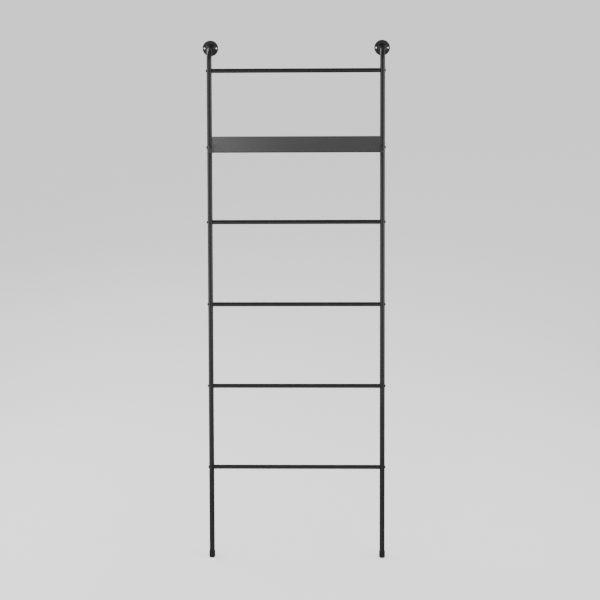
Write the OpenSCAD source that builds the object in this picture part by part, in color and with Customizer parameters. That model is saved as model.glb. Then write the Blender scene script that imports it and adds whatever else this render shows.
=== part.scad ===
// Leaning towel ladder with a shelf near the top.
// Two bent steel uprights stand on rubber feet and end in round flanges on the
// wall. Each upright is three lengths of tube joined end to end, so the ladder
// packs flat. Five tube rungs and a steel shelf are bolted between them.
// Origin: floor level, half way between the uprights, half way from the front
// of the feet to the wall. X runs along the rungs, Y towards the wall, Z up.
// Heights marked as slant are measured along the leaning upright.

/* [Ladder] */
// Distance between the axes of the two uprights
axis_spacing = 600; // [450:10:800]
// Lean of the uprights from the vertical, towards the wall
lean = 15; // [8:1:20]
// Slant height of the bottom rung above the floor
bottom_rung_up = 320; // [250:1:380]
// Slant distance between the four lower rungs
rung_pitch = 287; // [220:1:320]
// Slant distance from the second rung up to the bolts of the shelf
shelf_up = 259; // [220:1:300]
// Slant distance from the bolts of the shelf up to the top rung
top_rung_up = 264; // [220:1:300]
// Slant distance from the top rung to the corner of the bend
top_rung_down = 66; // [55:1:120]
// Distance from the corner of the bend to the wall
wall_standoff = 65; // [58:1:110]

/* [Upright tubes] */
// Outside diameter of the uprights
tube_d = 18; // [16:0.5:20]
// Wall of the uprights
tube_wall = 1.5; // [1:0.1:2]
// Centre-line radius of the bend
bend_r = 40; // [32:1:45]
// Slant distance from a rung down to the seam below it
seam_down = 25; // [20:1:34]
// Reach of the joint sleeve above the seam
sleeve_up = 40; // [35:1:60]
// Reach of the joint sleeve below the seam
sleeve_down = 35; // [20:1:60]
// Diameter of the bolt holes through the uprights
bolt_hole_d = 6.4; // [6.2:0.1:7]

/* [Rungs] */
// Outside diameter of the rungs
rung_d = 15; // [13:0.5:16]
// Wall of the rungs
rung_wall = 1.2; // [0.8:0.1:1.5]
// Length of the threaded plug in each rung end
plug_l = 20; // [15:1:30]

/* [Shelf] */
// Reach of the shelf in front of the upright axis
shelf_front = 109; // [60:1:130]
// Gap between the back edge of the shelf and the wall
shelf_wall_gap = 22; // [5:1:40]
// Thickness of the shelf sheet
shelf_t = 3; // [2:0.1:4]
// Corner radius of the shelf
shelf_corner_r = 8; // [2:0.5:20]
// Depth of the bolt axis below the top of the shelf
shelf_bolt_down = 9.5; // [9.2:0.1:12]
// Width of the relief cut on each side of the ear that is bent down at each end
ear_relief = 1.2; // [1:0.1:2]
// Inside radius of the ear's bend
ear_bend_r = 1; // [0.5:0.1:1.5]

/* [Bolts] */
// Shank diameter of the button-head bolts
bolt_d = 6; // [5:0.1:6]
// Shank length of the bolts
bolt_l = 30; // [28:1:36]
// Head diameter
head_d = 10.5; // [9.5:0.1:12]
// Head height
head_h = 3.3; // [2.8:0.1:4]
// Width across flats of the hexagon socket
socket_af = 4; // [3:0.1:5]
// Width across flats of the shelf nuts
nut_af = 10; // [9:0.1:10]
// Height of the shelf nuts
nut_h = 5; // [4:0.1:6]

/* [Wall flanges] */
// Diameter of the flange
flange_d = 55; // [54:1:70]
// Thickness of the flange
flange_t = 3; // [2:0.1:4]
// Wall of the hub round the tube
hub_wall = 4; // [3:0.1:5]
// Height of the hub from the wall
hub_h = 15; // [12:0.5:20]
// Radius between hub and flange
hub_fillet = 4; // [2:0.1:4.5]
// Radius of the hub's front edge
hub_edge_r = 2.5; // [1:0.1:3]
// Distance between the two screw holes
screw_spacing = 42; // [42:0.5:44]
// Diameter of the screw holes
screw_hole_d = 6; // [4:0.1:6.5]
// Metal left behind the tube in the hub
socket_floor = 2; // [1:0.1:3]
// Diameter of the grub screw that holds the tube
grub_d = 5; // [3:0.1:6]

/* [Feet] */
// Wall of the rubber foot round the tube
foot_wall = 1.5; // [1.2:0.1:5]
// Slant height of the foot
foot_h = 22; // [18:1:40]
// Rubber below the end of the tube, along the tube
foot_sole = 6; // [5:0.5:10]

/* [Hidden] */

$fn = 64;
left = -1;
right = 1;
// Overshoot of a cut past the face it opens
cut = 1;
// Thinning of the wall on each side where the tube is drawn round the bend
bend_thin = 0.05;
// Extra degrees at each end of the bend, which lie inside the straight tube's wall
run_in = 0.5;
// Gap all round between a tube and what it slides into
slip_fit = 0.1;
// Gap all round between a bolt and its thread
thread_gap = 0.1;
// Room between the upright and its notch in the shelf
notch_gap = 0.6;
// Bevel on the ends of bolts, plugs and sleeves
bevel = 0.8;
// Broken edge on the cut ends of the tubes, which shows as a line at each seam
deburr = 0.5;
// Radius of small moulded or turned edges
edge_r = 1;
// Depth of the hexagon socket in a bolt head
socket_depth = 1.9;
// Length of the grub screw
grub_l = 4;

tube_r = tube_d / 2;
tube_in_r = tube_r - tube_wall;
rung_r = rung_d / 2;
rung_in_r = rung_r - rung_wall;
foot_r = tube_r + foot_wall;
hub_r = tube_r + hub_wall;

// Slant heights of the rungs, the shelf bolts, the seams and the corner
bottom_rung_t = bottom_rung_up;
fourth_rung_t = bottom_rung_t + rung_pitch;
third_rung_t = fourth_rung_t + rung_pitch;
second_rung_t = third_rung_t + rung_pitch;
shelf_bolt_t = second_rung_t + shelf_up;
top_rung_t = shelf_bolt_t + top_rung_up;
corner_t = top_rung_t + top_rung_down;
lower_seam_t = fourth_rung_t - seam_down;
upper_seam_t = second_rung_t - seam_down;
rung_heights = [bottom_rung_t, fourth_rung_t, third_rung_t, second_rung_t, top_rung_t];
bolt_heights = concat(rung_heights, [shelf_bolt_t]);

// The bend turns the tube from its lean to level
bend_angle = 90 - lean;
bend_tangent = bend_r * tan(bend_angle / 2);
bend_start_t = corner_t - bend_tangent;

// Depth of the whole ladder, from the front of the feet to the wall
depth = foot_r / cos(lean) + corner_t * sin(lean) + wall_standoff;
wall_y = depth / 2;
foot_y = foot_r / cos(lean) - depth / 2;
corner_z = corner_t * cos(lean);

// The shelf lies level, its ears reach down to the bolts
inner_face_x = axis_spacing / 2 - tube_r;
outer_face_x = axis_spacing / 2 + tube_r;
shelf_bolt_y = axis_y(shelf_bolt_t);
shelf_bolt_z = shelf_bolt_t * cos(lean);
shelf_top_z = shelf_bolt_z + shelf_bolt_down;
shelf_axis_y = shelf_bolt_y + shelf_bolt_down * tan(lean);
shelf_front_y = shelf_axis_y - shelf_front;
shelf_back_y = wall_y - shelf_wall_gap;
ear_outer_r = ear_bend_r + shelf_t;
ear_line_x = inner_face_x - ear_outer_r;
// The leaning tube crosses the thickness of the sheet in this length
notch_w = tube_d / cos(lean) + shelf_t * tan(lean) + 2 * notch_gap;
notch_y = shelf_axis_y - shelf_t / 2 * tan(lean);
// The ear fills the notch between its relief cuts and narrows to a round end
ear_front_y = notch_y - notch_w / 2 + ear_relief;
ear_back_y = notch_y + notch_w / 2 - ear_relief;
ear_w = ear_back_y - ear_front_y;
ear_end_r = shelf_bolt_y - ear_front_y;

// Distance Y of the upright axis at a slant height
function axis_y(t) = foot_y + t * sin(lean);

// Colours as they look in daylight
coat = "#2b2b2c";
shelf_coat = "#48484a";
rubber = "#1d1d1e";
screw_black = "#161617";
zinc = "#a3a6a8";

// Local Z along the leaning upright, starting at slant height t
module along_upright(side, t) {
    translate([side * axis_spacing / 2, axis_y(t), t * cos(lean)])
        rotate([-lean, 0, 0])
            children();
}

// Local Z points outwards along X, starting on the upright's axis
module across_upright(side, t) {
    translate([side * axis_spacing / 2, axis_y(t), t * cos(lean)])
        rotate([0, side * 90, 0])
            children();
}

// Local Z points from the wall into the room, on the axis of a flange
module on_wall(side) {
    translate([side * axis_spacing / 2, wall_y, corner_z])
        rotate([90, 0, 0])
            children();
}

// Tube open at both ends, its outer edges broken by low_edge and high_edge
module pipe(outer_r, inner_r, length, low_edge, high_edge) {
    rotate_extrude()
        polygon([
            [inner_r, 0], [outer_r - low_edge, 0], [outer_r, low_edge],
            [outer_r, length - high_edge], [outer_r - high_edge, length], [inner_r, length]
        ]);
}

// Round bar with bevelled ends
module bevelled_bar(r, length) {
    rotate_extrude()
        polygon([
            [0, 0], [r - bevel, 0], [r, bevel],
            [r, length - bevel], [r - bevel, length], [0, length]
        ]);
}

// Holes for the bolts that pass through an upright between two slant heights
module bolt_holes(side, low_t, high_t) {
    for (t = bolt_heights)
        if (t > low_t && t < high_t)
            across_upright(side, t)
                cylinder(d = bolt_hole_d, h = tube_d + 2 * cut, center = true);
}

// Straight length of an upright
module straight_tube(side, low_t, high_t) {
    difference() {
        along_upright(side, low_t)
            pipe(tube_r, tube_in_r, high_t - low_t, deburr, deburr);
        bolt_holes(side, low_t, high_t);
    }
}

// Local Z runs level from the end of the bend towards the wall
module along_stub(side) {
    along_upright(side, bend_start_t)
        translate([0, bend_r, 0])
            rotate([-bend_angle, 0, 0])
                translate([0, -bend_r, 0])
                    children();
}

// Upper length: up the lean, round the bend and level into the flange
module upper_tube(side) {
    straight = bend_start_t - upper_seam_t;
    stub = wall_standoff - bend_tangent - socket_floor;
    color(coat)
        difference() {
            union() {
                along_upright(side, bend_start_t) {
                    translate([0, 0, -straight])
                        pipe(tube_r, tube_in_r, straight, deburr, 0);
                    translate([0, bend_r, 0])
                        rotate([90, 0, -90])
                            rotate([0, 0, -run_in])
                                rotate_extrude(angle = bend_angle + 2 * run_in)
                                    translate([bend_r, 0])
                                        difference() {
                                            circle(r = tube_r - bend_thin);
                                            circle(r = tube_in_r + bend_thin);
                                        }
                }
                along_stub(side)
                    pipe(tube_r, tube_in_r, stub, 0, deburr);
            }
            bolt_holes(side, upper_seam_t, bend_start_t);
        }
}

module middle_tube(side) {
    color(coat) straight_tube(side, lower_seam_t, upper_seam_t);
}

module lower_tube(side) {
    color(coat) straight_tube(side, foot_sole, lower_seam_t);
}

// Bar inside two tubes, held by the rung bolt that crosses it
module joint_sleeve(side, seam_t) {
    color(zinc)
        difference() {
            along_upright(side, seam_t - sleeve_down)
                bevelled_bar(tube_in_r - slip_fit, sleeve_down + sleeve_up);
            across_upright(side, seam_t + seam_down)
                cylinder(d = bolt_hole_d, h = tube_d, center = true);
        }
}

// Tube cut square, held between the sides of the uprights
module rung(t) {
    color(coat)
        translate([-inner_face_x, axis_y(t), t * cos(lean)])
            rotate([0, 90, 0])
                pipe(rung_r, rung_in_r, 2 * inner_face_x, deburr, deburr);
}

// Threaded plugs in the five rung ends on one side
module rung_plugs(side) {
    color(zinc)
        for (t = rung_heights)
            across_upright(side, t)
                translate([0, 0, -tube_r - plug_l])
                    difference() {
                        bevelled_bar(rung_in_r - slip_fit, plug_l);
                        translate([0, 0, -cut])
                            cylinder(d = bolt_d + 2 * thread_gap, h = plug_l + 2 * cut);
                    }
}

// Button-head bolt, underside of the head at zero and shank downwards
module button_bolt() {
    dome_r = (head_d * head_d / 4 + head_h * head_h) / (2 * head_h);
    difference() {
        union() {
            rotate_extrude()
                intersection() {
                    translate([0, head_h - dome_r]) circle(r = dome_r);
                    square([head_d / 2, head_h]);
                }
            translate([0, 0, -bolt_l])
                rotate_extrude()
                    polygon([
                        [0, 0], [bolt_d / 2 - bevel, 0], [bolt_d / 2, bevel],
                        [bolt_d / 2, bolt_l + head_h / 2], [0, bolt_l + head_h / 2]
                    ]);
        }
        translate([0, 0, head_h - socket_depth])
            cylinder(d = socket_af / cos(30), h = socket_depth + cut, $fn = 6);
    }
}

// Six bolts on one side, heads against the outside of the upright
module bolts(side) {
    color(screw_black)
        for (t = bolt_heights)
            across_upright(side, t)
                translate([0, 0, tube_r])
                    button_bolt();
}

module shelf_nut(side) {
    color(zinc)
        across_upright(side, shelf_bolt_t)
            translate([0, 0, -tube_r - shelf_t - nut_h])
                difference() {
                    rotate([0, 0, 30])
                        cylinder(d = nut_af / cos(30), h = nut_h, $fn = 6);
                    translate([0, 0, -cut])
                        cylinder(d = bolt_d + 2 * thread_gap, h = nut_h + 2 * cut);
                }
}

// Plan of the shelf sheet, with a notch for the upright at each end
module shelf_plan() {
    end_x = axis_spacing / 2;
    difference() {
        union() {
            translate([-end_x + shelf_corner_r, shelf_front_y])
                square([2 * (end_x - shelf_corner_r), shelf_back_y - shelf_front_y]);
            translate([-end_x, shelf_front_y + shelf_corner_r])
                square([2 * end_x, shelf_back_y - shelf_front_y - 2 * shelf_corner_r]);
            for (sx = [left, right], y = [shelf_front_y + shelf_corner_r, shelf_back_y - shelf_corner_r])
                translate([sx * (end_x - shelf_corner_r), y])
                    circle(r = shelf_corner_r);
        }
        for (side = [left, right])
            translate([side * (ear_line_x + end_x) / 2, notch_y])
                square([end_x - ear_line_x + 2 * cut, notch_w], center = true);
    }
}

// Ear that is bent down against the inside of the upright
module shelf_ear(side) {
    ear_y = (ear_front_y + ear_back_y) / 2;
    // Strip between the notch's relief cuts, up to the line of the bend
    translate([side * ear_line_x, ear_y, shelf_top_z - shelf_t / 2])
        cube([4 * cut, ear_w, shelf_t], center = true);
    translate([side * ear_line_x, ear_y, shelf_top_z - ear_outer_r])
        scale_side(side)
            rotate([90, 0, 0])
                linear_extrude(height = ear_w, center = true)
                    intersection() {
                        difference() {
                            circle(r = ear_outer_r);
                            circle(r = ear_bend_r);
                        }
                        square(ear_outer_r);
                    }
    translate([side * (inner_face_x - shelf_t / 2), shelf_bolt_y, shelf_bolt_z])
        rotate([90, 0, 90])
            linear_extrude(height = shelf_t, center = true) {
                circle(r = ear_end_r);
                polygon([
                    [-ear_end_r, 0], [ear_end_r, 0],
                    [ear_w - ear_end_r, shelf_bolt_down - ear_outer_r],
                    [-ear_end_r, shelf_bolt_down - ear_outer_r]
                ]);
            }
}

// Turns a shape that faces right round to the side it is for
module scale_side(side) {
    rotate([0, 0, side == right ? 0 : 180])
        children();
}

module shelf_plate() {
    color(shelf_coat)
        difference() {
            union() {
                translate([0, 0, shelf_top_z - shelf_t])
                    linear_extrude(height = shelf_t)
                        shelf_plan();
                for (side = [left, right])
                    shelf_ear(side);
            }
            for (side = [left, right])
                across_upright(side, shelf_bolt_t)
                    translate([0, 0, -tube_r - 2 * shelf_t])
                        cylinder(d = bolt_hole_d, h = 3 * shelf_t);
        }
}

// Turned profile of the flange: disc, hub, the curve between them and the
// rounded front edges, drawn as radius and height above the wall
module flange_profile() {
    flange_r = flange_d / 2;
    square([flange_r - edge_r, flange_t]);
    square([flange_r, flange_t - edge_r]);
    translate([flange_r - edge_r, flange_t - edge_r]) circle(r = edge_r);
    square([hub_r - hub_edge_r, hub_h]);
    square([hub_r, hub_h - hub_edge_r]);
    translate([hub_r - hub_edge_r, hub_h - hub_edge_r]) circle(r = hub_edge_r);
    difference() {
        square([hub_r + hub_fillet, flange_t + hub_fillet]);
        translate([hub_r + hub_fillet, flange_t + hub_fillet]) circle(r = hub_fillet);
    }
}

module wall_flange(side) {
    color(coat)
        on_wall(side)
            difference() {
                rotate_extrude() flange_profile();
                translate([0, 0, socket_floor])
                    cylinder(r = tube_r + slip_fit, h = hub_h);
                for (sx = [left, right])
                    translate([sx * screw_spacing / 2, 0, -cut])
                        cylinder(d = screw_hole_d, h = flange_t + 2 * cut);
                grub_place()
                    cylinder(d = grub_d + 2 * thread_gap, h = hub_r);
            }
}

// Local Z points down from the tube's underside through the hub
module grub_place() {
    translate([0, -tube_r, (flange_t + hub_fillet + hub_h) / 2])
        rotate([90, 0, 0])
            children();
}

// Socket set screw under the hub, its tip on the tube
module flange_grub_screw(side) {
    color(screw_black)
        on_wall(side)
            grub_place()
                difference() {
                    cylinder(d = grub_d, h = grub_l);
                    translate([0, 0, grub_l / 2])
                        cylinder(d = grub_d / 2 / cos(30), h = grub_l, $fn = 6);
                }
}

// Rubber ferrule pushed over the tube, its sole moulded level with the floor
module foot_cap(side) {
    // Reach of the leaning rubber below the floor, where it is cut level
    below = 2 * foot_r * tan(lean);
    block = 8 * foot_r;
    color(rubber)
        difference() {
            along_upright(side, -below)
                rotate_extrude()
                    difference() {
                        union() {
                            square([foot_r, below + foot_h - edge_r]);
                            square([foot_r - edge_r, below + foot_h]);
                            translate([foot_r - edge_r, below + foot_h - edge_r])
                                circle(r = edge_r);
                        }
                        translate([0, below + foot_sole])
                            square([tube_r + slip_fit, foot_h]);
                    }
            translate([side * axis_spacing / 2, foot_y, -block / 2])
                cube(block, center = true);
        }
}

lower_tube(left);  // left_lower_tube
middle_tube(left);  // left_middle_tube
upper_tube(left);  // left_upper_tube
lower_tube(right);  // right_lower_tube
middle_tube(right);  // right_middle_tube
upper_tube(right);  // right_upper_tube
joint_sleeve(left, lower_seam_t);  // left_lower_joint_sleeve
joint_sleeve(left, upper_seam_t);  // left_upper_joint_sleeve
joint_sleeve(right, lower_seam_t);  // right_lower_joint_sleeve
joint_sleeve(right, upper_seam_t);  // right_upper_joint_sleeve
rung(bottom_rung_t);  // bottom_rung
rung(fourth_rung_t);  // fourth_rung
rung(third_rung_t);  // third_rung
rung(second_rung_t);  // second_rung
rung(top_rung_t);  // top_rung
rung_plugs(left);  // left_rung_plugs
rung_plugs(right);  // right_rung_plugs
shelf_plate();
shelf_nut(left);  // left_shelf_nut
shelf_nut(right);  // right_shelf_nut
bolts(left);  // left_bolts
bolts(right);  // right_bolts
wall_flange(left);  // left_wall_flange
wall_flange(right);  // right_wall_flange
flange_grub_screw(left);  // left_flange_grub_screw
flange_grub_screw(right);  // right_flange_grub_screw
foot_cap(left);  // left_foot_cap
foot_cap(right);  // right_foot_cap
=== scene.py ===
import bmesh
import bpy
import numpy as np
from mathutils import Matrix, Vector


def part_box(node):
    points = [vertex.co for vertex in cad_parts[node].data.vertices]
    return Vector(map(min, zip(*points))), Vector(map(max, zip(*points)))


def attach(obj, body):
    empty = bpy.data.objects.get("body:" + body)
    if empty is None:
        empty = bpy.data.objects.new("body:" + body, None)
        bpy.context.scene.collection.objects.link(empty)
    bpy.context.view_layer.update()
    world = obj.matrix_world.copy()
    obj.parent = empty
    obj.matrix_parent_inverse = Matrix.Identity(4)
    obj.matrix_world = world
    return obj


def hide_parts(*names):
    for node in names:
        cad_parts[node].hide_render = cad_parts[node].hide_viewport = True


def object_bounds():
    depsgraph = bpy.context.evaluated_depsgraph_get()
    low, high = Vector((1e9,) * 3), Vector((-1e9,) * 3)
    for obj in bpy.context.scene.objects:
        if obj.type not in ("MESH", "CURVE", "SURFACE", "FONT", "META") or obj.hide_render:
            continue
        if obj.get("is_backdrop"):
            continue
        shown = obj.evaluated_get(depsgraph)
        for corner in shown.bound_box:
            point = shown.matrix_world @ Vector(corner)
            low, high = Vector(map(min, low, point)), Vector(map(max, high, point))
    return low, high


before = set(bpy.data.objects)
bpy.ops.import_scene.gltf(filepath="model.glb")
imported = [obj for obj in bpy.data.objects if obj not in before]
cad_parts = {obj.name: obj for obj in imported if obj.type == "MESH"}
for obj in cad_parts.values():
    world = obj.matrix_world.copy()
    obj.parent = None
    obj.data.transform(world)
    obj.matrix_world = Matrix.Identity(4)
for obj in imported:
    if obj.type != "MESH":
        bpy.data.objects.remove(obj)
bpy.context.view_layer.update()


# Uprights: each is three lengths of drawn steel tube, joined end to end over
# hidden sleeves, and the upper one is bent to the wall. The tubes are cut,
# their ends are rounded off, and they are coated before they are put together.

MM = 0.001
BODY = "root"
left, right = -1, 1
side_name = {left: "left", right: "right"}
across = np.array([1.0, 0.0, 0.0])


def middle(node):
    """Centre of a node's box: half the sum of its two corners."""
    low, high = map(np.array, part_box(node))
    return (low + high) / 2


# The two end rungs give the line of the uprights
along = middle("top_rung") - middle("bottom_rung")
along /= np.linalg.norm(along)
lean = np.arctan2(along[1], along[2])
axis_x = middle("right_middle_tube")[0]
foot_y = middle("bottom_rung")[1] - middle("bottom_rung")[2] * np.tan(lean)
tube_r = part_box("right_middle_tube")[1][0] - axis_x
tube_wall = 1.5 * MM
broken_edge = 0.5 * MM
wear_reach = 3 * MM
bend_r = 40 * MM
corner_z = middle("right_wall_flange")[2]

# The mesh: points round a tube, steps along it, rings in each curve, how near
# two points become one, and the angle from which an edge is sharp
facets = 96
ring_step = 20 * MM
edge_rings = 5
bend_rings = 25
stub_rings = 3
same_point = 0.001 * MM
sharp_angle = np.radians(40)


def axis_point(side, slant):
    """Point on an upright's axis: the foot plus slant times (0, sin lean, cos lean)."""
    slant = np.asarray(slant, float)
    y, z = foot_y + slant * np.sin(lean), slant * np.cos(lean)
    return np.stack([np.full_like(slant, side * axis_x), y, z], -1)


def tube(centres, tangents, reference, outer_r, inner_r):
    """Grid of a tube with broken edges, which runs up the outside and back down the bore.

    Ring i is centre + r * (cos u * reference + sin u * tangent x reference). At each
    end the outer corner is a quarter circle: r = outer_r - edge * (1 - sin a), set back
    by edge * (1 - cos a).
    """
    a = np.linspace(0, np.pi / 2, edge_rings)
    drop, set_back = broken_edge * (1 - np.sin(a)), broken_edge * (1 - np.cos(a))[:, None]
    rings = np.concatenate([
        centres[0] + set_back * tangents[0], centres[1:-1],
        centres[-1] - set_back[::-1] * tangents[-1], centres[::-1],
    ])
    lines = np.concatenate([
        np.repeat(tangents[:1], edge_rings, 0), tangents[1:-1],
        np.repeat(tangents[-1:], edge_rings, 0), tangents[::-1],
    ])
    radii = np.concatenate([
        outer_r - drop, np.full(len(centres) - 2, outer_r), outer_r - drop[::-1],
        np.full(len(centres), inner_r),
    ])
    u = np.linspace(0, 2 * np.pi, facets, endpoint=False)[None, :, None]
    spokes = np.cos(u) * reference + np.sin(u) * np.cross(lines, reference)[:, None, :]
    return rings[:, None, :] + radii[:, None, None] * spokes


def quads(rows, columns, start=0, joined=False, lids=False):
    """Faces of a grid that closes across its columns, and over its rows too if joined.

    The point at (row, column) has the number start + row * columns + column. Lids are a
    face over the first row, turned the other way, and one over the last.
    """
    index = start + np.arange(rows * columns).reshape(rows, columns)
    near = index if joined else index[:-1]
    far = np.roll(index, -1, 0) if joined else index[1:]
    around = np.stack([near, np.roll(near, -1, 1), np.roll(far, -1, 1), far], -1)
    ends = [index[0][::-1].tolist(), index[-1].tolist()] if lids else []
    return around.reshape(-1, 4).tolist() + ends


def piece(name, slot, material, replaced, *shells, worn=None):
    """A named piece from shells, each a grid of points and how its faces close."""
    faces, points = [], []
    for grid, closing in shells:
        faces += quads(*grid.shape[:2], start=sum(map(len, points)), **closing)
        points.append(grid.reshape(-1, 3))
    mesh = bpy.data.meshes.new(name)
    mesh.from_pydata(np.concatenate(points), [], faces)
    if worn is not None:
        wear = mesh.attributes.new("worn_edge", "FLOAT", "POINT")
        wear.data.foreach_set("value", worn.ravel())
    # Rings that shrink to a point become one vertex, and faces are turned outwards
    shape = bmesh.new()
    shape.from_mesh(mesh)
    bmesh.ops.remove_doubles(shape, verts=shape.verts, dist=same_point)
    if shape.calc_volume(signed=True) < 0:
        bmesh.ops.reverse_faces(shape, faces=shape.faces)
    shape.to_mesh(mesh)
    shape.free()
    mesh.set_sharp_from_angle(angle=sharp_angle)
    # A lid is flat right up to its rounded edge
    smooth = [len(face.vertices) <= 4 for face in mesh.polygons]
    mesh.polygons.foreach_set("use_smooth", smooth)
    mesh.materials.append(material)
    made = bpy.data.objects.new(name, mesh)
    bpy.context.collection.objects.link(made)
    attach(made, BODY)
    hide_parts(replaced)


def end_wear(centres):
    """Wear at each point of tube(): 1 - distance to the nearer cut end / wear_reach, or 0."""
    run = np.concatenate([[0], np.cumsum(np.linalg.norm(np.diff(centres, axis=0), axis=1))])
    worn = np.clip(1 - np.minimum(run, run[-1] - run) / wear_reach, 0, 1)
    cut = np.ones(edge_rings)
    rings = np.concatenate([cut, worn[1:-1], cut, worn[::-1]])
    return np.repeat(rings[:, None], facets, 1)


def linear(hex_colour):
    """sRGB hex to linear RGBA: c / 12.92 below 0.04045, else ((c + 0.055) / 1.055) ** 2.4."""
    c = np.array([int(hex_colour[i:i + 2], 16) / 255 for i in (1, 3, 5)])
    c = np.where(c <= 0.04045, c / 12.92, ((c + 0.055) / 1.055) ** 2.4)
    return (*map(float, c), 1.0)


def add(tree, kind, inputs=None, **settings):
    """Adds a node, sets its properties, and sets or links its inputs by name or number."""
    node = tree.nodes.new(kind)
    for name, value in settings.items():
        setattr(node, name, value)
    for key, value in (inputs or {}).items():
        if isinstance(value, bpy.types.NodeSocket):
            tree.links.new(value, node.inputs[key])
        else:
            node.inputs[key].default_value = value
    return node


def new_material(name):
    """A material with an empty tree, and the Object coordinates that its patterns lie on."""
    material = bpy.data.materials.new(name)
    material.use_nodes = True
    tree = material.node_tree
    tree.nodes.clear()
    return material, tree, add(tree, "ShaderNodeTexCoord").outputs["Object"]


# Nearly all of a noise lies between these two values
noise_span = {"From Min": 0.3, "From Max": 0.7}

# Satin black polyester powder coat, sprayed dry and baked. A baked plastic film
# is a dielectric, IOR about 1.5. It flowed as it baked, so it has orange peel
# 1 to 2 mm across that blurs each reflection, its sheen drifts with the film's
# thickness, and it pulls thin and shines a little at the cut edges.
satin_black, tree, place = new_material("satin_black_powder_coat")
film = add(tree, "ShaderNodeTexNoise", {
    "Vector": place, "Scale": 1 / (70 * MM), "Detail": 3.0,
}).outputs["Fac"]
# The peel is drawn 6 mm across, or it would be lost between the pixels, and
# 0.006 mm deep, so that its slopes stay those of 0.0015 mm over 1.5 mm.
peel = add(tree, "ShaderNodeTexNoise", {
    "Vector": place, "Scale": 1 / (6 * MM), "Detail": 1.0,
}).outputs["Fac"]
worn = add(tree, "ShaderNodeAttribute", attribute_name="worn_edge").outputs["Fac"]
body_colour = add(tree, "ShaderNodeMix", {
    "Factor": film, "A": linear("#19191a"), "B": linear("#202021"),
}, data_type="RGBA").outputs["Result"]
edge_colour = add(tree, "ShaderNodeMix", {
    "Factor": worn, "A": body_colour, "B": linear("#2c2c2d"),
}, data_type="RGBA").outputs["Result"]
sheen = add(tree, "ShaderNodeMapRange", {
    "Value": film, **noise_span, "To Min": 0.34, "To Max": 0.42,
}).outputs["Result"]
edge_sheen = add(tree, "ShaderNodeMath", {
    0: worn, 1: -0.08, 2: sheen,
}, operation="MULTIPLY_ADD").outputs["Value"]
bumps = add(tree, "ShaderNodeBump", {
    "Strength": 1.0, "Distance": 0.006 * MM, "Height": peel,
}).outputs["Normal"]
shader = add(tree, "ShaderNodeBsdfPrincipled", {
    "Base Color": edge_colour, "Roughness": edge_sheen, "IOR": 1.5, "Normal": bumps,
})
add(tree, "ShaderNodeOutputMaterial", {"Surface": shader.outputs["BSDF"]})


def slant_ends(node):
    """Slant heights of a leaning tube's two ends, worked out from its box.

    They are (lowest z + tilt) / cos lean and (highest z - tilt) / cos lean. The tilt is
    how far an end ring dips: its radius inside the broken edge, times sin lean.
    """
    tilt = (tube_r - broken_edge) * np.sin(lean)
    low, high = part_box(node)
    return (low[2] + tilt) / np.cos(lean), (high[2] - tilt) / np.cos(lean)


def stations(first, last):
    """Places along a tube: its ends, and even steps between where the wear fades out."""
    steps = max(2, int((last - first) / ring_step))
    inner = np.linspace(first + wear_reach, last - wear_reach, steps)
    return np.concatenate([[first], inner, [last]])


def bent_path(side, first):
    """Centres and tangents up the lean, round the bend and level into the flange.

    The bend starts bend_r * tan(turn / 2) before the corner of the two lines. Where the
    tube leans by b, its centre is bend_r * (0, cos lean - cos b, sin b - sin lean) past
    that start.
    """
    turn = np.pi / 2 - lean
    bend_start = corner_z / np.cos(lean) - bend_r * np.tan(turn / 2)
    rise = stations(first, bend_start)[:-1]
    angle = lean + np.linspace(0, turn, bend_rings)
    arc = axis_point(side, bend_start) + bend_r * np.stack([
        np.zeros(bend_rings), np.cos(lean) - np.cos(angle), np.sin(angle) - np.sin(lean),
    ], -1)
    end_x, bend_end, end_z = arc[-1]
    wall_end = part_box(f"{side_name[side]}_upper_tube")[1][1]
    level = np.linspace(bend_end, wall_end, stub_rings + 1)[1:]
    stub = np.stack([np.full(stub_rings, end_x), level, np.full(stub_rings, end_z)], -1)
    centres = np.concatenate([axis_point(side, rise), arc, stub])
    leans = np.concatenate([np.full(len(rise), lean), angle, np.full(stub_rings, np.pi / 2)])
    return centres, np.stack([0 * leans, np.sin(leans), np.cos(leans)], -1)


for side, word in side_name.items():
    for part in ("lower", "middle", "upper"):
        first, last = slant_ends(f"{word}_{part}_tube")
        if part == "upper":
            centres, tangents = bent_path(side, first)
        else:
            centres = axis_point(side, stations(first, last))
            tangents = np.repeat(along[None], len(centres), 0)
        grid = tube(centres, tangents, across, tube_r, tube_r - tube_wall)
        piece(f"{word}_{part}_upright", "coat", satin_black, f"{word}_{part}_tube",
              (grid, {"joined": True}), worn=end_wear(centres))


# Rungs: straight lengths of a thinner steel tube in the same coat, cut square
# and pulled against the uprights by a bolt in each end.

rung_wall = 1.2 * MM
to_wall = np.array([0.0, 1.0, 0.0])

for word in ("bottom", "fourth", "third", "second", "top"):
    low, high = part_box(f"{word}_rung")
    x = stations(low[0], high[0])
    centres = np.stack([x, *np.repeat(middle(f"{word}_rung")[1:, None], len(x), 1)], -1)
    tangents = np.repeat(across[None], len(x), 0)
    rung_r = (high[2] - low[2]) / 2
    grid = tube(centres, tangents, to_wall, rung_r, rung_r - rung_wall)
    piece(f"{word}_rung_tube", "coat", satin_black, f"{word}_rung",
          (grid, {"joined": True}), worn=end_wear(centres))


# Shelf: one piece of 3 mm steel sheet, cut with round corners and a notch for
# each upright, with an ear at each end bent down to the shelf's bolt. It is
# coated with a fine-textured powder, a shade lighter than the tubes.

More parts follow.
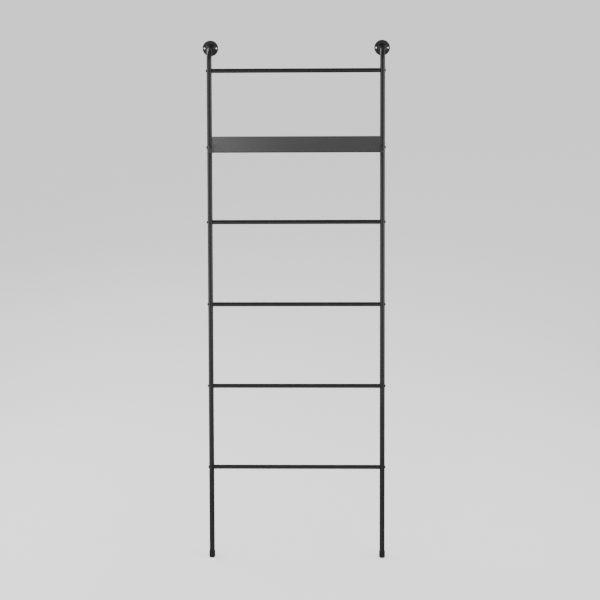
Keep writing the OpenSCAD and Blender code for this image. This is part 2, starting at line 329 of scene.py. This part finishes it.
sheet = 3 * MM
sheet_edge = 0.6 * MM
corner_r = 8 * MM
notch_gap = 0.6 * MM
notch_corner_r = 1 * MM
ear_relief = 1.2 * MM
ear_bend_r = 1 * MM
ear_root = 0.3 * MM
corner_points = 9
ear_bend_rings = 9
ear_end_rings = 13
shelf_low, shelf_high = map(np.array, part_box("shelf_plate"))
sheet_z = shelf_high[2] - sheet / 2
# The leaning tube crosses the thickness of the sheet in this length
notch_w = 2 * tube_r / np.cos(lean) + sheet * np.tan(lean) + 2 * notch_gap
notch_y = foot_y + sheet_z * np.tan(lean)


def outline(arcs, inset):
    """Closed outline of arcs joined by straight lines, moved inwards by inset.

    Each arc is centre x, centre y, radius, first and last angle of its outward normal in
    degrees. A point is centre + (radius - inset) * normal. A hollow arc has a negative radius.
    """
    x, y, r, first, last = (column[:, None] for column in np.array(arcs, float).T)
    angle = np.radians(first + (last - first) * np.linspace(0, 1, corner_points))
    points = np.stack([x + (r - inset) * np.cos(angle), y + (r - inset) * np.sin(angle)], -1)
    return points.reshape(-1, 2)


def shelf_arcs():
    """Arcs of the sheet's corners and notches, counter-clockwise seen from above.

    The left end mirrors the right one: x becomes -x, and an angle 180 minus itself.
    """
    end, front, back = shelf_high[0], shelf_low[1], shelf_high[1]
    notch_end = axis_x - tube_r - ear_bend_r - sheet
    near, far = notch_y - notch_w / 2, notch_y + notch_w / 2
    r, n = corner_r, notch_corner_r
    right_end = [
        (end - r, front + r, r, 270, 360), (end - n, near - n, n, 0, 90),
        (notch_end + n, near + n, -n, 90, 0), (notch_end + n, far - n, -n, 0, -90),
        (end - n, far + n, n, -90, 0), (end - r, back - r, r, 0, 90),
    ]
    left_end = [
        (-x, y, radius, 180 - last, 180 - first)
        for x, y, radius, first, last in reversed(right_end)
    ]
    return right_end + left_end


def plate(arcs, bottom, thickness, edge):
    """Flat sheet: its outline carried over a rounded edge, from the bottom face to the top.

    Up the bottom edge the outline is inset by edge * (1 - sin a) at the height
    edge * (1 - cos a), and the top edge mirrors it.
    """
    a = np.linspace(0, np.pi / 2, edge_rings)
    inset = np.concatenate([edge * (1 - np.sin(a)), edge * (1 - np.sin(a[::-1]))])
    height = np.concatenate([edge * (1 - np.cos(a)), thickness - edge * (1 - np.cos(a[::-1]))])
    rings = np.stack([outline(arcs, step) for step in inset])
    heights = np.broadcast_to((bottom + height)[:, None, None], (*rings.shape[:2], 1))
    return np.concatenate([rings, heights], -1)


def ear(side):
    """Strip bent down from the sheet, which narrows to a half round end on the bolt.

    A rounded rectangle is carried along the bend, as wide as the notch leaves it. Past
    the bolt its half width is end_r * cos a, and end_r * sin a is how far past it is.
    """
    bolt = middle(f"{side_name[side]}_shelf_nut")
    front = notch_y - notch_w / 2 + ear_relief - bolt[1]
    back = notch_y + notch_w / 2 - ear_relief - bolt[1]
    end_r = -front
    mid_r = ear_bend_r + sheet / 2
    face_x = axis_x - tube_r - sheet / 2
    turn = np.linspace(0, np.pi / 2, ear_bend_rings)
    a = np.linspace(0, np.pi / 2, ear_end_rings)
    # The strip starts inside the sheet, a little thinner, and comes up where the lid ends
    lid_end = face_x - mid_r - sheet_edge
    flat = [0, 0]
    strip_rings = len(flat) + ear_bend_rings
    x = np.concatenate([
        [lid_end - ear_root, lid_end], face_x - mid_r + mid_r * np.sin(turn),
        np.full(ear_end_rings, face_x),
    ])
    down = np.concatenate([
        flat, mid_r * (1 - np.cos(turn)), sheet_z - bolt[2] + end_r * np.sin(a),
    ])[:, None]
    tilt = np.concatenate([flat, turn, np.full(ear_end_rings, np.pi / 2)])[:, None]
    half = np.concatenate([np.full(strip_rings, (back - front) / 2), end_r * np.cos(a)])
    centre = np.concatenate([np.full(strip_rings, (back + front) / 2), np.zeros(ear_end_rings)])
    # One ring of the strip: width along Y, thickness across the bend, four round corners
    r = sheet_edge
    corners = np.radians(np.linspace(0, 90, edge_rings) + np.array([0, 90, 180, 270])[:, None])
    corner_y = np.array([1, -1, -1, 1])[:, None]
    corner_t = np.array([1, 1, -1, -1])[:, None] * (sheet / 2 - r) + r * np.sin(corners)
    wide = (np.maximum(half - r, 0)[:, None, None] * corner_y
            + np.minimum(half, r)[:, None, None] * np.cos(corners))
    thick = np.broadcast_to(corner_t, wide.shape).copy()
    thick[0] *= 1 - ear_root / sheet
    wide, thick = wide.reshape(len(half), -1), thick.reshape(len(half), -1)
    return np.stack([
        side * (x[:, None] + thick * np.sin(tilt)), bolt[1] + centre[:, None] + wide,
        sheet_z - down + thick * np.cos(tilt),
    ], -1)


# Fine-textured powder coat: the same kind of film with a texturing agent that
# stops it flowing, so it dries as a close sandy grain under 1 mm across. The
# grain scatters light, which makes it look greyer and more matt than the tubes.
shelf_grey, tree, place = new_material("fine_textured_shelf_coat")
film = add(tree, "ShaderNodeTexNoise", {
    "Vector": place, "Scale": 1 / (160 * MM), "Detail": 3.0,
}).outputs["Fac"]
# The grain is drawn 3 mm across, about a pixel, with its slopes kept
grain = add(tree, "ShaderNodeTexNoise", {
    "Vector": place, "Scale": 1 / (3 * MM), "Detail": 2.0,
}).outputs["Fac"]
tone = add(tree, "ShaderNodeMath", {
    0: film, 1: 0.7, 2: grain,
}, operation="MULTIPLY_ADD").outputs["Value"]
shelf_colour = add(tree, "ShaderNodeMix", {
    "Factor": add(tree, "ShaderNodeMapRange", {
        "Value": tone, "From Min": 0.6, "From Max": 1.1, "To Min": 0.0, "To Max": 1.0,
    }).outputs["Result"], "A": linear("#262524"), "B": linear("#2f2e2d"),
}, data_type="RGBA").outputs["Result"]
sheen = add(tree, "ShaderNodeMapRange", {
    "Value": film, **noise_span, "To Min": 0.44, "To Max": 0.48,
}).outputs["Result"]
bumps = add(tree, "ShaderNodeBump", {
    "Strength": 1.0, "Distance": 0.03 * MM, "Height": grain,
}).outputs["Normal"]
shader = add(tree, "ShaderNodeBsdfPrincipled", {
    "Base Color": shelf_colour, "Roughness": sheen, "IOR": 1.5, "Normal": bumps,
})
add(tree, "ShaderNodeOutputMaterial", {"Surface": shader.outputs["BSDF"]})

piece("shelf_sheet", "shelf_coat", shelf_grey, "shelf_plate",
      (plate(shelf_arcs(), shelf_high[2] - sheet, sheet, sheet_edge), {"lids": True}),
      (ear(left), {"lids": True}), (ear(right), {"lids": True}))


# Wall flanges: turned steel, a disc with a hub that the tube slides into, in
# the same coat as the tubes. Their solids already have the turned curves.

def dress(material, *parts):
    """Puts one material on every slot of these solids, on the left and on the right."""
    for word in side_name.values():
        for part in parts:
            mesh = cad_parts[f"{word}_{part}"].data
            for index in range(len(mesh.materials)):
                mesh.materials[index] = material


dress(satin_black, "wall_flange")


# Feet: rubber ferrules moulded in one piece and pushed over the tube ends. The
# lip is rolled, and the sole is level with a ring-shaped groove for grip.

foot_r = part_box("right_foot_cap")[1][0] - axis_x
foot_h = 22 * MM
foot_floor = 6 * MM
slip_fit = 0.1 * MM
lip_rings = 9
sole_edge = 0.8 * MM
groove_r = np.array([8.4, 8.1, 5.6, 5.3]) * MM
groove_lift = np.array([0, 0.6, 0.6, 0]) * MM


def ferrule(side):
    """Cup turned round the leaning axis, whose lowest rings lie level with the floor.

    A ring has a radius r and a slant height. On the level rings the slant height is
    r * sin u * tan lean + lift, which puts every point of the ring lift above the floor.
    """
    lip = (foot_r - tube_r - slip_fit) / 2
    a = np.linspace(np.pi, 0, lip_rings)
    e = np.linspace(0, np.pi / 2, edge_rings)
    bore_r, bore_slant = [0, tube_r + slip_fit], [foot_floor, foot_floor]
    cup_rings = len(bore_r) + lip_rings
    sole_rings = edge_rings + len(groove_r) + 1
    radii = np.concatenate([
        bore_r, foot_r - lip + lip * np.cos(a),
        foot_r - sole_edge * (1 - np.cos(e)), groove_r, [0],
    ])[:, None]
    slant = np.concatenate([
        bore_slant, foot_h - lip + lip * np.sin(a), np.zeros(sole_rings),
    ])[:, None]
    lift = np.concatenate([
        np.zeros(cup_rings), sole_edge * (1 - np.sin(e)), groove_lift, [0],
    ])[:, None]
    level = np.concatenate([np.zeros(cup_rings), np.ones(sole_rings)])[:, None]
    u = np.linspace(0, 2 * np.pi, facets, endpoint=False)[None, :]
    height = (1 - level) * slant + level * (radii * np.sin(u) * np.tan(lean) + lift)
    spokes = np.cos(u)[..., None] * across + np.sin(u)[..., None] * np.cross(along, across)
    return axis_point(side, height) + radii[..., None] * spokes


# Black rubber: moulded, dark with carbon black, IOR about 1.52. Skin from the
# steel mould is matt, and a faint grey bloom comes out of the rubber in clouds.
black_rubber, tree, place = new_material("moulded_black_rubber")
bloom = add(tree, "ShaderNodeTexNoise", {
    "Vector": place, "Scale": 1 / (9 * MM), "Detail": 3.0,
}).outputs["Fac"]
# The skin of the mould, 0.5 mm across, is drawn at 1.5 mm
skin = add(tree, "ShaderNodeTexNoise", {
    "Vector": place, "Scale": 1 / (1.5 * MM), "Detail": 2.0,
}).outputs["Fac"]
rubber_colour = add(tree, "ShaderNodeMix", {
    "Factor": bloom, "A": linear("#0c0c0d"), "B": linear("#141415"),
}, data_type="RGBA").outputs["Result"]
matt = add(tree, "ShaderNodeMapRange", {
    "Value": bloom, **noise_span, "To Min": 0.6, "To Max": 0.72,
}).outputs["Result"]
bumps = add(tree, "ShaderNodeBump", {
    "Strength": 1.0, "Distance": 0.03 * MM, "Height": skin,
}).outputs["Normal"]
shader = add(tree, "ShaderNodeBsdfPrincipled", {
    "Base Color": rubber_colour, "Roughness": matt, "IOR": 1.52, "Normal": bumps,
})
add(tree, "ShaderNodeOutputMaterial", {"Surface": shader.outputs["BSDF"]})

for side, word in side_name.items():
    piece(f"{word}_ferrule", "rubber", black_rubber, f"{word}_foot_cap", (ferrule(side), {}))


# Bolts: M6 button heads with a hexagon socket, cold-forged steel with rolled
# threads, screwed through the uprights. The grub screws under the hubs are the
# same steel. Their solids show as they are.

# Black oxide on steel: a thin dark layer that grows into the metal and soaks up
# oil. The oil film, IOR about 1.4 to 1.5, is what shines, dully and in patches,
# and the steel's own small dents break its sheen up.
oxide_black, tree, place = new_material("black_oxide_steel")
oil = add(tree, "ShaderNodeTexNoise", {
    "Vector": place, "Scale": 1 / (4 * MM), "Detail": 2.0,
}).outputs["Fac"]
# Dents of the forging, 0.3 mm across, are drawn at 0.8 mm
dents = add(tree, "ShaderNodeTexNoise", {
    "Vector": place, "Scale": 1 / (0.8 * MM), "Detail": 2.0,
}).outputs["Fac"]
oxide_colour = add(tree, "ShaderNodeMix", {
    "Factor": oil, "A": linear("#080809"), "B": linear("#0f0e0e"),
}, data_type="RGBA").outputs["Result"]
sheen = add(tree, "ShaderNodeMapRange", {
    "Value": oil, **noise_span, "To Min": 0.5, "To Max": 0.6,
}).outputs["Result"]
bumps = add(tree, "ShaderNodeBump", {
    "Strength": 1.0, "Distance": 0.01 * MM, "Height": dents,
}).outputs["Normal"]
shader = add(tree, "ShaderNodeBsdfPrincipled", {
    "Base Color": oxide_colour, "Roughness": sheen, "IOR": 1.4, "Normal": bumps,
})
add(tree, "ShaderNodeOutputMaterial", {"Surface": shader.outputs["BSDF"]})

dress(oxide_black, "bolts", "flange_grub_screw")


# Joint sleeves, rung plugs and shelf nuts: turned steel, zinc plated against
# rust and left uncoated, because they are hidden or face the inside.

# Bright zinc plate: a metal. Its passivation leaves faint blue and straw clouds
# and a satin sheen that drifts with the plating bath.
bright_zinc, tree, place = new_material("bright_zinc_plate")
cloud = add(tree, "ShaderNodeTexNoise", {
    "Vector": place, "Scale": 1 / (5 * MM), "Detail": 3.0,
}).outputs["Fac"]
zinc_colour = add(tree, "ShaderNodeMix", {
    "Factor": add(tree, "ShaderNodeMapRange", {
        "Value": cloud, **noise_span, "To Min": 0.0, "To Max": 1.0,
    }).outputs["Result"], "A": linear("#9aa0a8"), "B": linear("#b9b7ae"),
}, data_type="RGBA").outputs["Result"]
satin = add(tree, "ShaderNodeMapRange", {
    "Value": cloud, **noise_span, "To Min": 0.28, "To Max": 0.4,
}).outputs["Result"]
shader = add(tree, "ShaderNodeBsdfPrincipled", {
    "Base Color": zinc_colour, "Metallic": 1.0, "Roughness": satin,
})
add(tree, "ShaderNodeOutputMaterial", {"Surface": shader.outputs["BSDF"]})

dress(bright_zinc, "lower_joint_sleeve", "upper_joint_sleeve", "rung_plugs", "shelf_nut")


# Floor: plain white paper, wide enough to fill the picture. It glows a little,
# as paper lit from all round does.

paper_half = 30.0
paper_glow = 0.9
paper_corners = [(-1, -1), (1, -1), (1, 1), (-1, 1)]

floor_mesh = bpy.data.meshes.new("floor")
floor_mesh.from_pydata([(x * paper_half, y * paper_half, 0) for x, y in paper_corners],
                       [], [(0, 1, 2, 3)])
floor = bpy.data.objects.new("floor", floor_mesh)
bpy.context.collection.objects.link(floor)

# White paper: bleached fibres that scatter light, so it is matt all over, and
# it clouds very faintly where they lie thicker.
paper, tree, place = new_material("white_paper")
fibre = add(tree, "ShaderNodeTexNoise", {
    "Vector": place, "Scale": 1 / (400 * MM), "Detail": 2.0,
}).outputs["Fac"]
paper_colour = add(tree, "ShaderNodeMix", {
    "Factor": fibre, "A": linear("#e8e8e6"), "B": linear("#ebebea"),
}, data_type="RGBA").outputs["Result"]
shader = add(tree, "ShaderNodeBsdfPrincipled", {
    "Base Color": paper_colour, "Roughness": 0.9,
    "Emission Color": linear("#ffffff"), "Emission Strength": paper_glow,
})
add(tree, "ShaderNodeOutputMaterial", {"Surface": shader.outputs["BSDF"]})

floor_mesh.materials.append(paper)
floor.visible_glossy = False
floor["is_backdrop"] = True


# Light: a large soft box on each side, dim ones in front and in front on the
# left, two dim ones behind that the shelf reflects, a strong one high behind on
# the left, and a room that is bright in front below and dim above.

def soft_box(name, spot, target, size, power):
    """A rectangular lamp at spot whose -Z axis points along target - spot."""
    lamp = bpy.data.lights.new(name, "AREA")
    lamp.shape = "RECTANGLE"
    lamp.size, lamp.size_y = size
    lamp.energy = power
    box = bpy.data.objects.new(name, lamp)
    bpy.context.collection.objects.link(box)
    box.location = spot
    box.rotation_euler = (Vector(target) - Vector(spot)).to_track_quat("-Z", "Y").to_euler()
    box.visible_camera = False


soft_box("left_soft_box", (-1.6, -0.3, 1.45), (0, -0.3, 1.45), (2.4, 2.2), 30.5)
soft_box("right_soft_box", (1.7, -0.35, 1.6), (0, -0.35, 1.6), (2.7, 1.9), 40)
soft_box("left_front_soft_box", (-1.15, -1.95, 1.55), (0, 0, 1.0), (1.5, 1.9), 5.5)
soft_box("front_soft_box", (0.2, -4.0, 1.95), (0, 0, 1.0), (2.0, 1.0), 7)
soft_box("back_left_soft_box", (-0.95, 2.8, 2.05), (-0.2, 0.1, 1.4), (1.2, 1.0), 3.2)
soft_box("back_wide_soft_box", (0.3, 3.0, 2.1), (0.1, 0.1, 1.4), (3.4, 0.9), 2.55)
soft_box("high_back_soft_box", (-1.8, 1.65, 2.8), (-0.3, 0.15, 1.5), (1.8, 1.8), 40)

# The room is brightest towards front_below, and falls off smoothly away from it
front_below = (0.0, -0.5, -0.87)
world = bpy.data.worlds.new("room")
bpy.context.scene.world = world
world.use_nodes = True
room = world.node_tree
direction = add(room, "ShaderNodeTexCoord").outputs["Generated"]
towards_front = add(room, "ShaderNodeVectorMath", {
    0: direction, 1: front_below,
}, operation="DOT_PRODUCT").outputs["Value"]
glow = add(room, "ShaderNodeMapRange", {
    "Value": towards_front, "From Min": 0.2, "From Max": 1.25, "To Min": 0.25, "To Max": 1.0,
}, interpolation_type="SMOOTHSTEP").outputs["Result"]
room.links.new(glow, room.nodes["Background"].inputs["Strength"])
room.nodes["Background"].inputs["Color"].default_value = linear("#ffffff")


# Camera: the place, turn and lens of the photograph, fitted to the uprights,
# rungs, shelf corners and flanges.

frame_pixels = 600
focal_pixels = 1547.4
sensor_mm = 36
yaw, pitch, roll = np.radians([-1.468, 19.083, -0.526])

camera_data = bpy.data.cameras.new("camera")
camera = bpy.data.objects.new("camera", camera_data)
bpy.context.collection.objects.link(camera)
camera_data.sensor_width = sensor_mm
camera_data.lens = focal_pixels / frame_pixels * sensor_mm
camera.location = (0.1435, -5.1269, 2.6448)
forward = Vector((np.sin(yaw) * np.cos(pitch), np.cos(yaw) * np.cos(pitch), -np.sin(pitch)))
level_right = Vector((np.cos(yaw), -np.sin(yaw), 0))
up = level_right.cross(forward)
camera_right = level_right * np.cos(roll) + up * np.sin(roll)
camera_up = up * np.cos(roll) - level_right * np.sin(roll)
turned = np.array([camera_right, camera_up, -forward]).T
camera.rotation_euler = Matrix(turned.tolist()).to_euler()
bpy.context.scene.camera = camera

low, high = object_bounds()
